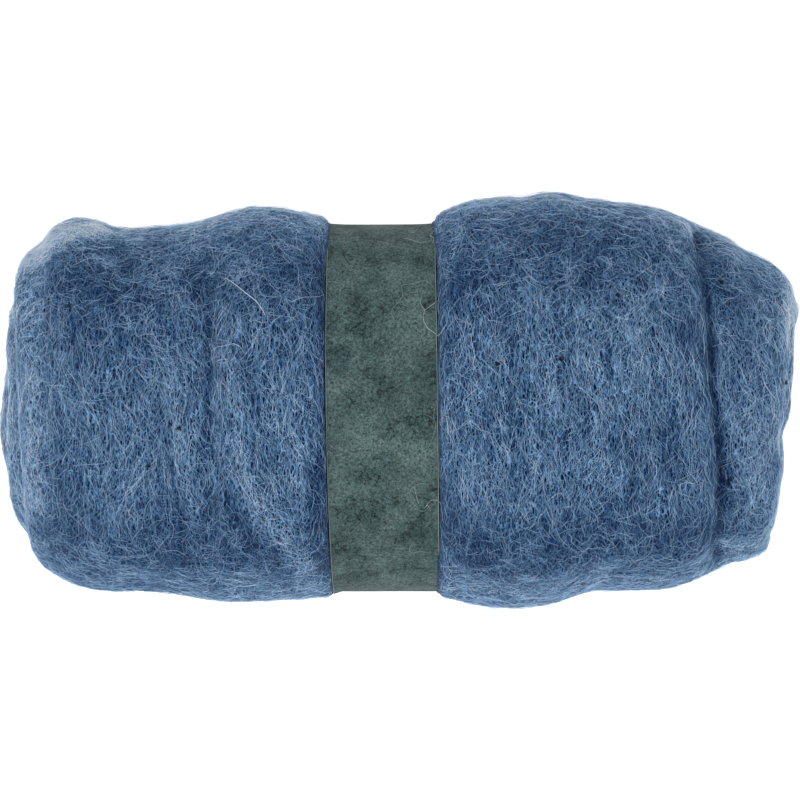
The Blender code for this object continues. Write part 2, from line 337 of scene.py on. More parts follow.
def surface_of(*meshes):
    """Search tree over the triangles of one mesh or more."""
    points = []
    triangles = []
    for mesh in meshes:
        mesh.calc_loop_triangles()
        first = len(points)
        points += [v.co.copy() for v in mesh.vertices]
        triangles += [tuple(first + v for v in t.vertices) for t in mesh.loop_triangles]
    return BVHTree.FromPolygons(points, triangles)


def nearest_on(surface, points):
    """The places on a surface nearest to points, and its normals there."""
    found = [surface.find_nearest(p) for p in points]
    return np.array([f[0] for f in found]), np.array([f[1] for f in found])


def field_at(points, along, around, shift):
    """Soft noise from -1 to 1 at places, of given spans along the roll and round it."""
    spots = points / np.array([along, around, around]) + shift
    return np.array([noise.noise(spot) for spot in spots])


def ease(value, low, high):
    """0 below `low`, 1 above `high` and a soft change between them."""
    t = np.clip((value - low) / (high - low), 0.0, 1.0)
    return t * t * (3.0 - 2.0 * t)


def unit(vectors):
    """Vectors scaled to length 1."""
    return vectors / np.maximum(np.linalg.norm(vectors, axis=-1, keepdims=True), 1e-12)


def drawn_in(y):
    """How far the band's left edge is drawn in where it has come this far round the roll."""
    return BAND_BOW * (y / BAND_HALF) ** 2


def at_side(y):
    """0 over the roll's top, 1 at its sides where they turn down."""
    return ease(np.abs(y), *SIDES)


def beyond_band(points):
    """How far places lie outside the band's edges along x, less than 0 under it."""
    straight = points[:, 0] - BAND_LEAN * points[:, 1]
    left = BAND_LEFT + drawn_in(points[:, 1])
    return np.maximum(left - straight, straight - BAND_RIGHT)


# --------------------------------------------- locks and hollows

class Streak(NamedTuple):
    """A lock, fold or patch on the roll's upper side."""
    width: float      # mm, half its width
    height: float     # mm over the wool round it, or its depth if less than 0
    tone: float       # paler than the wool round it, or darker if less than 0; in folds and hollows the darkness is painted shade, at pale edges the paleness painted light
    path: tuple       # mm, places down it as they show in the view plane


STREAKS = [
    # Folds and hollows left of the band; their darker tone is painted shade.
    Streak(1.5, -0.4, -1.0, ((-66, 39), (-67, 25), (-67, 11), (-68, 0), (-67, -14))),
    Streak(1.3, -0.3, -0.8, ((-67, -28), (-68, -37), (-70, -48))),
    Streak(1.3, -0.3, -0.8, ((-85, -2), (-84, -9), (-80, -28), (-76, -46), (-75, -57))),
    Streak(2.6, -0.8, -0.7, ((-98, 51), (-95, 46))),
    Streak(7.0, 0.0, -0.4, ((-123, 32), (-107, 23))),
    Streak(4.0, -0.2, -0.45, ((-76, 48), (-70, 38))),
    Streak(3.5, 0.0, -0.4, ((-114, 44), (-110, 39))),
    Streak(5.0, -0.3, -0.45, ((-121, -35), (-114, -43), (-117, -56))),
    Streak(5.0, -0.3, -0.5, ((-88, -39), (-83, -56))),
    Streak(2.6, -0.4, -0.6, ((-78, -49), (-74, -58))),
    Streak(5.0, 0.0, -0.3, ((-58, -35), (-56, -56))),
    Streak(3.0, -0.3, -0.45, ((-51, -51), (-44, -57))),
    Streak(1.3, -0.6, -0.7, ((-135, 27), (-134, 18), (-135, 7), (-135, -1))),
    Streak(2.0, -0.3, -0.4, ((-28, 55), (-28, 25))),
    Streak(2.6, -0.5, -0.8, ((-31, -25), (-28, -57))),
    Streak(1.6, -0.4, -0.6, ((-55, 36), (-54, 12), (-50, -6), (-45, -22))),
    Streak(1.4, -0.3, -0.5, ((-100, 38), (-98, 14), (-93, -6))),
    Streak(1.6, -0.3, -0.6, ((-64, -20), (-60, -38), (-52, -52))),
    Streak(0.9, -0.2, -0.45, ((-47, 8), (-46, -2))),
    # Locks, and pale edges whose paleness is painted light, left of the band.
    Streak(3.4, 0.4, 0.5, ((-81, 6), (-79, -4), (-77, -16))),
    Streak(1.8, 0.6, 0.6, ((-79, -19), (-74, -32), (-70, -43))),
    Streak(2.2, 0.5, 0.5, ((-59, 19), (-60, 9), (-59, -2), (-57, -14), (-55, -25), (-51, -34),
                           (-45, -45), (-35, -57))),
    Streak(3.0, 0.5, 0.6, ((-42, 3), (-40, -9), (-37, -18), (-35, -29))),
    Streak(1.1, 0.3, 0.35, ((-39, 13), (-42, 0))),
    Streak(1.6, 0.3, 0.35, ((-87, 35), (-90, 25), (-87, 17))),
    Streak(1.3, 0.3, 0.35, ((-104, -3), (-100, -12))),
    Streak(1.3, 0.3, 0.3, ((-88, -19), (-93, -29), (-97, -36))),
    Streak(2.6, 0.3, 0.25, ((-84, 18), (-75, 12))),
    Streak(7.0, 0.0, 1.3, ((-130, 38), (-132, 18), (-132, 0), (-131, -18), (-129, -34))),
    Streak(9.0, 0.0, -0.35, ((-108, 42), (-110, 22))),
    Streak(12.0, 0.0, -0.3, ((-50, 40), (-44, 8))),
    Streak(7.0, 0.0, -0.3, ((-90, 40), (-88, 20))),
    Streak(4.5, 0.0, -0.35, ((-72, 42), (-72, 12))),
    Streak(6.0, 0.0, -0.6, ((-128, -50), (-118, -62), (-98, -65), (-70, -67))),
    Streak(5.0, -1.2, 0.0, ((-139, 10), (-139, 0))),
    Streak(4.5, 0.3, 0.3, ((-53, -35), (-39, -46), (-31, -61))),
    Streak(3.2, 0.0, 2.8, ((-106, 61), (-115, 60), (-125, 55), (-130, 48))),
    Streak(2.2, 0.0, 0.3, ((-134, 34), (-137, 14), (-138, 0), (-138, -20), (-135, -42))),
    # The deep crease where the end lobe was tucked in, and the folds beside it; their darker tone is
    # painted shade.
    Streak(1.5, -0.6, -1.7, ((104, 57), (105, 49), (107, 40), (109, 28), (110, 18), (110, 8),
                             (111, -3), (112, -11), (113, -21), (112, -42), (110, -53))),
    Streak(0.8, -0.3, -1.0, ((108, 33), (109, 22), (110, 12))),
    Streak(0.8, -0.3, -1.0, ((112, -13), (113, -22), (112, -33))),
    Streak(2.2, -0.8, -0.7, ((104, 58), (105, 55))),
    Streak(1.6, -0.6, -0.5, ((88, 23), (90, 11), (89, 4))),
    Streak(1.6, -0.7, -0.5, ((89, 1), (92, -14), (94, -27))),
    Streak(1.9, -0.8, -0.6, ((81, -14), (83, -23), (81, -35), (83, -44))),
    Streak(2.8, -0.7, -0.55, ((115, -22), (115, -32))),
    # Hollows right of the band; their darker tone is painted shade.
    Streak(5.5, -0.4, -0.5, ((87, -48), (106, -45))),
    Streak(5.0, 0.0, -0.4, ((65, 56), (78, 54))),
    Streak(2.6, -0.3, -0.45, ((65, 46), (66, 36))),
    Streak(6.0, 0.0, -0.3, ((28, 54), (42, 56), (61, 58))),
    Streak(3.4, 0.0, -0.3, ((42, 49), (54, 46))),
    Streak(5.5, -0.3, -0.35, ((16, -46), (35, -49), (65, -49))),
    Streak(2.2, -0.3, -0.5, ((55, -54), (59, -56))),
    Streak(1.1, -0.2, -0.4, ((28, -3), (28, -11))),
    Streak(2.2, -0.2, -0.35, ((59, 25), (60, 18))),
    Streak(3.4, -0.3, -0.4, ((109, 53), (114, 46))),
    Streak(2.4, -0.2, -0.3, ((119, 11), (118, -1))),
    Streak(2.2, -0.3, -0.35, ((129, -42), (125, -52))),
    # Locks, and pale edges whose paleness is painted light, right of the band.
    Streak(5.0, 0.2, 0.35, ((85, 54), (102, 61))),
    Streak(1.7, 0.4, 0.4, ((102, 17), (105, 8))),
    Streak(4.0, 0.4, 0.25, ((85, 29), (85, 10))),
    Streak(2.4, 0.3, 0.4, ((17, 5), (16, -14), (16, -26))),
    Streak(4.0, 0.4, 0.3, ((131, 1), (125, -14), (127, -25), (123, -33))),
    Streak(3.5, 0.0, 0.35, ((135, 17), (136, 35))),
    Streak(5.0, 0.0, 0.9, ((136, 38), (139, 20), (139, 0), (137, -16))),
    Streak(8.0, 0.0, 0.55, ((127, 30), (127, -30))),
    Streak(3.0, 0.0, 0.3, ((76, 24), (76, -4))),
    Streak(12.0, 0.0, -0.2, ((26, 34), (66, 32))),
    Streak(8.0, 0.0, -0.25, ((33, -18), (38, -36))),
    Streak(1.6, -0.2, -0.45, ((55, 44), (56, 22), (58, 4))),
    Streak(1.5, -0.2, -0.4, ((71, 30), (74, 6), (76, -18))),
    Streak(1.4, 0.0, -0.35, ((40, 20), (39, -8), (41, -30))),
    Streak(2.2, 0.2, 0.4, ((64, 34), (68, 14), (72, -2))),
    Streak(2.0, 0.2, 0.3, ((48, 14), (47, -16), (50, -38))),
    Streak(4.0, 0.0, -0.3, ((64, 10), (66, -20))),
    Streak(7.0, 0.0, -0.25, ((95, 34), (98, 5), (97, -25))),
    Streak(8.0, 0.0, -0.3, ((74, -64), (112, -58))),
    Streak(4.0, 1.2, 0.2, ((138, 38), (140, 32))),
    Streak(5.0, -2.2, 0.0, ((141, 24), (140, 0), (139, -12))),
    Streak(5.0, -3.7, 0.0, ((139, -13), (138, -29))),
    Streak(5.0, -1.2, 0.0, ((135, -34), (133, -42))),
    Streak(3.0, 0.0, -0.4, ((116, 38), (117, 10))),
    Streak(4.0, -2.4, 0.0, ((131, -48), (128, -54), (124, -60))),
    Streak(4.2, 0.2, 0.45, ((18, -64), (42, -68), (60, -62), (72, -61))),
    Streak(4.0, 0.4, 0.6, ((129, -32), (127, -43), (119, -53))),
    Streak(2.4, 0.2, 0.25, ((73, -11), (71, -26))),
]


UPPER_SIDE = (43.0 * MM, 59.0 * MM)     # heights between which the streaks set in
UPPER_FRINGE = 10.0 * MM                # how far up and down that line wanders
STEERS_BELOW = 4.0          # mm, a fold or lock this narrow also turns the fibres along it
STEER_REACH = 4.0           # mm, how far beyond its own width


def shown_at(points):
    """Where places on the roll show in the view plane."""
    nearer = VIEW_DISTANCE / (CAMERA_PLACE.z - points[:, 2:3])
    return points[:, :2] * nearer


def place_under(surface, x, y):
    """The place of the roll that shows at (x, y) mm in the view plane, and its normal."""
    aim = Vector((x * MM, y * MM, VIEW_PLANE))
    hit, normal, _, _ = surface.ray_cast(CAMERA_PLACE, aim - CAMERA_PLACE)
    if hit is None:
        hit, normal, _, _ = surface.find_nearest(aim)
    return hit, normal


def near_path(path, shown):
    """Distance of places from a path in the view plane, and the path's lean there."""
    corners = np.array(path) * MM
    distance = np.full(len(shown), np.inf)
    lean = np.zeros(len(shown))
    for start, end in zip(corners[:-1], corners[1:]):
        run = end - start
        share = np.clip((shown - start) @ run / (run @ run), 0.0, 1.0)
        here = np.linalg.norm(shown - start - share[:, None] * run, axis=1)
        lean = np.where(here < distance, math.atan2(run[0], -run[1]), lean)
        distance = np.minimum(distance, here)
    return distance, lean


def streaked(points):
    """Height and tone that the streaks give to places, with painted shade and painted light in the
    tone, and the lean and pull of their lay.
    """
    shown = shown_at(points)
    fringe = UPPER_FRINGE * field_at(points, 12.0 * MM, 12.0 * MM, 71.0)
    upper = ease(points[:, 2] + fringe, *UPPER_SIDE)
    ragged = 1.0 + 0.4 * field_at(points, 5.0 * MM, 16.0 * MM, 11.0)
    height = np.zeros(len(points))
    tone = np.zeros(len(points))
    pull = np.full(len(points), 1e-6)
    lean = np.zeros(len(points))
    for streak in STREAKS:
        distance, leans = near_path(streak.path, shown)
        reach = upper * np.exp(-(distance * ragged / (streak.width * MM)) ** 2)
        height += streak.height * MM * reach
        tone += streak.tone * reach
        if streak.height != 0.0 and streak.width < STEERS_BELOW:
            grip = upper * np.exp(-(distance / ((streak.width + STEER_REACH) * MM)) ** 2)
            pull += grip
            lean += grip * leans
    return height, tone, lean / pull, np.minimum(pull, 1.0)


# ---------------------------------------------------------------- the wool

VOXEL = 1.5 * MM


class Relief(NamedTuple):
    """One scale of unevenness in the wool's surface."""
    height: float
    along: float      # span along the roll
    around: float     # span round it


RELIEFS = [
    Relief(0.5 * MM, 13.0 * MM, 20.0 * MM),
    Relief(0.2 * MM, 4.0 * MM, 24.0 * MM),
]

# The wool swells up to the paper on both sides, with a groove at its edge that is darkened with
# painted shade.
SWELL_HEIGHT = 1.5 * MM
SWELL_WIDTH = 5.0 * MM
GROOVE_DEPTH = 2.8 * MM
GROOVE_WIDTH = 0.85 * MM
GROOVE_PAINTED_SHADE = -2.6
GROOVE_CUTS = [-0.2, 0.2, 0.5, 0.9, 1.4]    # mm, edge loops beside the paper
UNDER_PAPER = 0.6 * MM      # how far the wool fills the space under the band
SEAT_RISE = (0.5 * MM, 6.0 * MM)    # heights between which the wool leaves its flat seat
SHADE_WIDTH = 1.8 * MM      # the shade that the paper's edge lies in
SHADE_TONE = -1.3

# The wool is toned a little pale all over, as combed wool is on top; the flanks carry painted shade,
# and the sides painted light, as if loose fluff there let light through.
CREST_TONE = 0.2
FLANK_PAINTED_SHADE = 0.65
BACK_RIM_PAINTED_LIGHT = 1.1
FRONT_RIM_PAINTED_LIGHT = 0.0
SIDE_PAINTED_LIGHT = 0.2
RIM_HEIGHTS = (35.0 * MM, 58.0 * MM)    # from the painted light low on the sides up to that at the rims
RIM_PATCHES = 0.8       # how unevenly the painted light at the rims and the painted shade on the flanks lie
CLOUD_TONE = 0.15       # of the broad paler and darker patches
STRAND_TONE = 0.4       # of the long strands laid round the roll
STRAND_SLANT = 7.0 * MM     # how far those wander along it

# How far the wool turns away, 0 on top and 1 at the sides, where each of these sets in or ends.
FLANK_STARTS = (0.02, 0.2)
FLANK_ENDS = (0.4, 0.65)
RIM_TILTS = (0.45, 0.95)

# How far the combing leans off straight round the roll, at places along it in mm.
LEANS = {-140: 0.0, -100: 0.1, -75: 0.22, -35: 0.28, -25: 0.1,
         15: 0.0, 55: 0.0, 75: 0.14, 105: 0.1, 140: 0.0}
LEANING_TOP = (70.0 * MM, 95.0 * MM)    # heights between which that lean sets in

# The coils at the ends close over where the top rolls down to them.
END_ROUNDS = 30
END_SWELL = 1.3 * MM
END_FROM = (118.0 * MM, 130.0 * MM)     # |x| between which this sets in
END_TOP = (42.0 * MM, 62.0 * MM)        # heights between which it does


def combing_lean(points):
    """Lean of the combing at places, gone where the roll's sides turn down."""
    lean = np.interp(points[:, 0] / MM, list(LEANS), list(LEANS.values()))
    return lean * ease(points[:, 2], *LEANING_TOP)


def wool_tone_and_painted_light(points, normals):
    """How dark or pale the wool is at places, with painted shade in its folds, on its flanks and
    beside the band, and painted light at its rims.
    """
    _, tone, _, _ = streaked(points)
    tone += CLOUD_TONE * field_at(points, 20.0 * MM, 30.0 * MM, 41.0)
    slant = points.copy()
    slant[:, 0] += STRAND_SLANT * field_at(points, 45.0 * MM, 45.0 * MM, 23.0)
    slant[:, 0] += combing_lean(points) * points[:, 1]
    tone += STRAND_TONE * field_at(slant, 4.5 * MM, 50.0 * MM, 59.0)
    shade = np.exp(-(np.maximum(beyond_band(points), 0.0) / SHADE_WIDTH) ** 2)
    tone += SHADE_TONE * shade
    # Painted light at the rims and painted shade on the flanks, only where both the wool and the roll
    # as a whole turn away: a fold's wall gets none.
    turned = np.maximum(np.abs(normals[:, 2]), np.abs(points[:, 2] - VIEW_PLANE) / ROLL_RISE)
    tilt = 1.0 - np.minimum(turned, 1.0)
    flank_shade = ease(tilt, *FLANK_STARTS) * (1.0 - ease(tilt, *FLANK_ENDS))
    rim_light = np.interp(points[:, 1], [-50.0 * MM, 0.0], [FRONT_RIM_PAINTED_LIGHT, BACK_RIM_PAINTED_LIGHT])
    rim_light = SIDE_PAINTED_LIGHT + (rim_light - SIDE_PAINTED_LIGHT) * ease(points[:, 2], *RIM_HEIGHTS)
    patchy = 1.0 + RIM_PATCHES * field_at(points, 15.0 * MM, 15.0 * MM, 67.0)
    return tone + CREST_TONE + patchy * (rim_light * ease(tilt, *RIM_TILTS) - FLANK_PAINTED_SHADE * flank_shade)


def cut_beside_band(mesh):
    """Add edge loops to a mesh beside the paper, where it bends sharply."""
    shaped = bmesh.new()
    shaped.from_mesh(mesh)
    # Each cut is straight, so on the left it runs through the middle of the edge's bow.
    left = BAND_LEFT + 0.4 * BAND_BOW
    for cut in GROOVE_CUTS:
        for x in (left - cut * MM, BAND_RIGHT + cut * MM):
            whole = shaped.verts[:] + shaped.edges[:] + shaped.faces[:]
            bmesh.ops.bisect_plane(shaped, geom=whole, dist=0.02 * MM, plane_co=(x, 0.0, 0.0),
                                   plane_no=(1.0, -BAND_LEAN, 0.0))
    shaped.to_mesh(mesh)
    shaped.free()


def wound_wool():
    """The wool's solid, remeshed evenly and given its folds, locks and groove."""
    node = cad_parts["wool_roll"]
    coarse = link_piece("wool_coarse", node.data.copy())
    remesh = coarse.modifiers.new("even", "REMESH")
    remesh.mode = "VOXEL"
    remesh.voxel_size = VOXEL
    soften = coarse.modifiers.new("soften", "SMOOTH")
    soften.factor = 0.5
    soften.iterations = 3
    shaped = coarse.evaluated_get(bpy.context.evaluated_depsgraph_get())
    mesh = bpy.data.meshes.new_from_object(shaped)
    bpy.data.objects.remove(coarse)
    mesh.name = "wound_wool"
    cut_beside_band(mesh)

    points, normals = vertex_arrays(mesh)
    ends = ease(np.abs(points[:, 0]), *END_FROM) * ease(points[:, 2], *END_TOP)
    points = smoothed(mesh, points, 0.5 * ends, END_ROUNDS)
    push, _, _, _ = streaked(points)
    push += END_SWELL * ends
    for i, relief in enumerate(RELIEFS):
        push += relief.height * field_at(points, relief.along, relief.around, 7.3 * (i + 1))
    outside = beyond_band(points)
    swell = np.exp(-(np.maximum(outside, 0.0) / SWELL_WIDTH) ** 2)
    groove = np.exp(-(np.maximum(outside, 0.0) / GROOVE_WIDTH) ** 2)
    free = ease(outside, -1.0 * MM, 0.0)
    # The groove closes where the roll's sides turn down.
    deep = GROOVE_DEPTH * (1.0 - at_side(points[:, 1]))
    push = (push + SWELL_HEIGHT * swell - deep * groove) * free + UNDER_PAPER * (1.0 - free)
    # The seat stays flat on the surface.
    push *= ease(points[:, 2], *SEAT_RISE)
    mesh.vertices.foreach_set("co", (points + normals * push[:, None]).reshape(-1))
    mesh.update()
    # The groove's darkness is painted shade.
    set_tone(mesh, wool_tone_and_painted_light(points, normals) + GROOVE_PAINTED_SHADE * groove)
    mesh.materials.clear()
    mesh.materials.append(wool_ground())
    mesh.shade_smooth()
    return link_piece("wound_wool", mesh)


# --------------------------------------------------------------- the fibres

# From the darkest, which stands for painted shade in the depth, to the palest, nearly undyed, which
# stands for painted light where fluff is thin.
FIBRE_TONES = ["#06325F", "#215582", "#4A749B", "#6990B6", "#87AACE", "#A0C3E5", "#B7D6F3", "#CDE6FC",
               "#EAF0F5"]
TONE_SPREAD = 1.5       # of the fibres' places in FIBRE_TONES, by chance
TONE_CAP = 7.0          # the highest place that chance alone gives
TONE_SHARE = 1.4        # how much the wool's tone adds, painted shade and painted light included
LINE_POINTS = 10        # along the middle line of a lock
STREW_RING = 3.6 * MM   # locks are strewn in rings of this width round the roll
FIBRE_GAP = (0.25 * MM, 1.0 * MM)    # nearest that fibres come to the band's edges
START_GAP = 0.9 * MM        # nearest that a lock starts to them
TURN_GAP = 0.6 * MM         # nearest that its line runs to them before it turns back
LOOK_AHEAD = 1.5 * MM       # how far on it looks for them
ROOT_DEPTH = 0.25           # mm, how deep a fibre's ends lie in the wool
FLOOR_GAP = 0.25 * MM       # lowest that a fibre's middle line comes to the floor

# The share of locks on wool that faces down (-1), sideways (0) and up (1).
STREWN = {-1.0: 0.1, -0.5: 0.3, 0.0: 0.85, 0.5: 1.0, 1.0: 1.0}

# How far out the combing gives way to curls: at the back, the front and the ends.
UNRULY_BACK = (15.0 * MM, 42.0 * MM)
UNRULY_FRONT = (36.0 * MM, 54.0 * MM)
UNRULY_ENDS = (108.0 * MM, 128.0 * MM)

# How locks stray from the combing: the value where the wool lies combed, and what is added
# where it is quite unruly.
HEADING = (0.2, 0.6)        # radians, spread about the lay
CROSSING = (0.03, 0.25)     # share of locks that start off to one side
BEND = (15.0, 110.0)        # radians for each metre, spread
CROSSING_TURN = 1.6         # radians, the farthest that those turn off
LAY_WANDER = 0.35           # radians, of the lay itself from place to place

# A lock's crimp, least and greatest.
CRIMP = (0.1, 0.35)         # radians, swing from side to side
CRIMP_SPAN = (4.0 * MM, 9.0 * MM)
CRIMP_ADDED = 1.3           # what being unruly adds, as a share

# A fibre's place in its lock.
STRETCH_START = (0.0, 0.35)     # shares of the lock's middle line that it follows
STRETCH = (0.4, 0.65)
BESIDE = 0.4                # spread of its distance from the middle line
DRIFT = 0.2                 # shares of its length: across the lock from end to end
WEAVE = (0.015, 0.06)       # and from side to side
WEAVE_TURNS = (0.8, 1.6)    # radians for each of its points
ARCH = (0.25, 1.0)          # share of its coat's height that it stands up
FIBRE_GIRTHS = (0.7, 1.25)  # share of its coat's radius


class Coat(NamedTuple):
    """One coat of fibres, grown over the wool in small locks."""
    name: str
    side: int           # -1 left of the band, +1 right of it
    locks: int
    members: int        # fibres in a lock
    points: int         # along a fibre
    length: tuple       # mm, shortest and longest lock
    radius: float       # mm, of a fibre
    spread: float       # mm, fibres from the lock's middle line
    lift: tuple         # mm, least and greatest height over the wool
    tone: float         # place in FIBRE_TONES at the middle of the coat's range
    gather: float       # how much thicker they lie where the wool is unruly
    curl: float         # how far they curl any way even where it lies combed, 0 to 1


# The undercoats are set darker than the topcoats: painted shade in the depth under them.
COATS = [
    Coat("undercoat_left", -1, 4400, 3, 4, (12, 22), 0.065, 1.3, (-0.1, 0.25), 1.5, 0.0, 0.0),
    Coat("undercoat_right", 1, 4400, 3, 4, (12, 22), 0.065, 1.3, (-0.1, 0.25), 1.5, 0.0, 0.0),
    Coat("topcoat_left", -1, 4800, 2, 5, (14, 26), 0.052, 1.5, (0.05, 0.55), 4.7, 0.0, 0.0),
    Coat("topcoat_right", 1, 4800, 2, 5, (14, 26), 0.052, 1.5, (0.05, 0.55), 4.7, 0.0, 0.0),
    Coat("wisps_left", -1, 1600, 1, 9, (20, 38), 0.05, 0.6, (0.3, 1.1), 4.5, 1.5, 0.45),
    Coat("wisps_right", 1, 1600, 1, 9, (20, 38), 0.05, 0.6, (0.3, 1.1), 4.5, 1.5, 0.45),
]

rng = np.random.default_rng(41)


def start_points(mesh, coat):
    """Evenly strewn places for a coat's locks, fewer on the hidden underside."""
    points, _ = vertex_arrays(mesh)
    mesh.calc_loop_triangles()
    corners = np.empty(len(mesh.loop_triangles) * 3, dtype=np.int64)
    mesh.loop_triangles.foreach_get("vertices", corners)
    a, b, c = points[corners.reshape(-1, 3)].transpose(1, 0, 2)
    cross = np.cross(b - a, c - a)
    area = 0.5 * np.linalg.norm(cross, axis=1)
    middle = (a + b + c) / 3.0
    facing_up = cross[:, 2] / (2.0 * area + 1e-12)
    weight = area * np.interp(facing_up, list(STREWN), list(STREWN.values()))
    weight *= beyond_band(middle) > START_GAP
    weight *= middle[:, 0] * coat.side > 0.0
    weight *= 1.0 + coat.gather * unruly(middle)
    # Taken ring by ring round the roll, with one start for each equal share of the area.
    ring = np.floor(middle[:, 0] / STREW_RING)
    order = np.lexsort((np.arctan2(middle[:, 2] - AXIS_Z, middle[:, 1]), ring))
    reached = np.cumsum(weight[order]) / weight.sum()
    shares = (np.arange(coat.locks) + rng.random(coat.locks)) / coat.locks
    picks = order[np.searchsorted(reached, shares)]
    u, v = rng.random((2, coat.locks, 1))
    flip = u + v > 1.0
    u, v = np.where(flip, 1.0 - u, u), np.where(flip, 1.0 - v, v)
    return a[picks] + u * (b - a)[picks] + v * (c - a)[picks]


def unruly(points):
    """0 where the wool lies combed round the roll, 1 where it curls any way."""
    back = ease(points[:, 1], *UNRULY_BACK)
    front = ease(-points[:, 1], *UNRULY_FRONT)
    ends = ease(np.abs(points[:, 0]), *UNRULY_ENDS)
    patch = ease(field_at(points, 20.0 * MM, 20.0 * MM, 3.0), 0.1, 0.5)
    return np.clip(back + front + 0.5 * ends + 0.12 * patch, 0.0, 1.0)


def grow(surface, starts, length, curl):
    """Middle lines of locks that run over the wool, and its normals there."""
    count = len(starts)
    stride = length / (LINE_POINTS - 1)
    wild = np.maximum(unruly(starts), curl)
    heading = rng.normal(0.0, HEADING[0] + HEADING[1] * wild)
    crossing = rng.random(count) < CROSSING[0] + CROSSING[1] * wild
    heading += np.where(crossing, rng.uniform(-CROSSING_TURN, CROSSING_TURN, count), 0.0)
    backwards = np.where(rng.random(count) < 0.5, math.pi, 0.0)
    wave = rng.uniform(*CRIMP_SPAN, count)
    phase = rng.uniform(0.0, 2.0 * math.pi, count)
    crimp = rng.uniform(*CRIMP, count) * (1.0 + CRIMP_ADDED * wild) * 2.0 * math.pi / wave
    bend = rng.normal(0.0, BEND[0] + BEND[1] * wild)

    points = np.empty((count, LINE_POINTS, 3))
    normals = np.empty_like(points)
    at = starts.copy()
    travelled = np.zeros(count)
    for k in range(LINE_POINTS):
        points[:, k], normals[:, k] = nearest_on(surface, at)
        radial = points[:, k] - np.array([0.0, AXIS_Y, AXIS_Z])
        radial[:, 0] = 0.0
        around = np.cross(np.array([1.0, 0.0, 0.0]), radial)
        around = unit(around - normals[:, k] * (around * normals[:, k]).sum(1, keepdims=True))
        along = np.cross(normals[:, k], around)
        _, _, lean, pull = streaked(points[:, k])
        lay = LAY_WANDER * field_at(points[:, k], 30.0 * MM, 34.0 * MM, 5.0)
        lay += combing_lean(points[:, k])
        lay += (lean - lay) * pull
        angle = (heading + lay + backwards)[:, None]
        direction = np.cos(angle) * around + np.sin(angle) * along
        # A fibre that comes to the band turns back from it.
        ahead = points[:, k] + direction * LOOK_AHEAD
        blocked = beyond_band(ahead) < TURN_GAP
        direction[blocked, 0] *= -0.5
        at = points[:, k] + unit(direction) * stride[:, None]
        travelled += stride
        heading += stride * (crimp * np.sin(2.0 * math.pi * travelled / wave + phase) + bend)
    return points, normals


def members_of(points, normals, coat):
    """Fibres of each lock: each follows a stretch of its line and weaves beside it."""
    locks, steps, _ = points.shape
    count = locks * coat.members
    first = rng.uniform(*STRETCH_START, (count, 1))
    last = first + rng.uniform(*STRETCH, (count, 1))
    share = np.linspace(0.0, 1.0, coat.points)
    at = (first + (last - first) * share) * (steps - 1)
    low = np.minimum(at.astype(int), steps - 2)
    part = (at - low)[:, :, None]
    lock = np.repeat(np.arange(locks), coat.members)[:, None]
    line = points[lock, low] * (1.0 - part) + points[lock, low + 1] * part
    up = unit(normals[lock, low] * (1.0 - part) + normals[lock, low + 1] * part)
    across = unit(np.cross(np.gradient(line, axis=1), up))

    chord = np.linalg.norm(line[:, -1] - line[:, 0], axis=1)[:, None] / MM
    place_in_lock = np.tile(np.arange(coat.members), locks)[:, None] - 0.5 * (coat.members - 1)
    beside = coat.spread * (place_in_lock + rng.normal(0.0, BESIDE, (count, 1)))
    drift = rng.normal(0.0, DRIFT, (count, 1)) * chord * (share - 0.5)
    weave = rng.uniform(*WEAVE, (count, 1)) * chord
    turns = rng.uniform(*WEAVE_TURNS, (count, 1)) * coat.points
    phase = rng.uniform(0.0, 2.0 * math.pi, (count, 2))
    sideways = beside + drift + weave * np.sin(turns * share + phase[:, :1])
    least, most = coat.lift
    arch = rng.uniform(*ARCH, (count, 1)) * (most - least)
    height = least + arch * np.sin(math.pi * share) ** 0.6
    height += 0.1 * np.sin(1.7 * turns * share + phase[:, 1:])
    height[:, 0] = height[:, -1] = -ROOT_DEPTH
    line = line + (across * sideways[:, :, None] + up * height[:, :, None]) * MM
    # Beside the band a gap is left, so that the groove at its edge shows.
    gap = rng.uniform(*FIBRE_GAP, (count, 1))
    short = np.maximum(gap - beyond_band(line.reshape(-1, 3)).reshape(count, -1), 0.0)
    line[:, :, 0] += coat.side * short
    # What lies under the roll is pressed flat on the surface it rests on.
    line[:, :, 2] = np.maximum(line[:, :, 2], FLOOR_GAP)
    return line, up


